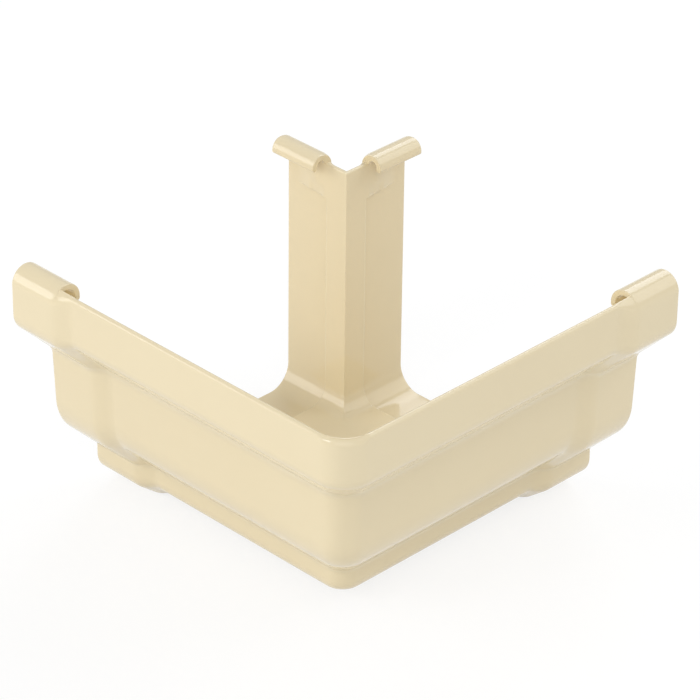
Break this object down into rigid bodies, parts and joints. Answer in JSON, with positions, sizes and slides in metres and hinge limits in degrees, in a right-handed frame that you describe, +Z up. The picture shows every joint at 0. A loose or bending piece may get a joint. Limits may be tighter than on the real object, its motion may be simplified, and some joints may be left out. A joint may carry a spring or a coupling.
{
  "type": "gutter external angle",
  "caption": "One-piece external corner for a moulded-front rain gutter: a stepped channel turned through a right angle, with a hooked socket at the end of each arm.",
  "frame": {"origin": "centre of the bounding box in plan, at the height of the undersides of the two sockets", "axes": "+Z is up as fitted. One arm runs towards -X with its front facing -Y, the other runs towards +Y with its front facing +X, and the fascia corner is on the -X +Y side. The mitre plane is the vertical plane x = -y"},
  "size_m": [0.1692, 0.1692, 0.1134],
  "materials": {
    "cream_plastic": "gloss"
  },
  "bodies": {
    "root": {"gutter_angle": "cream_plastic"}
  },
  "joints": []
}
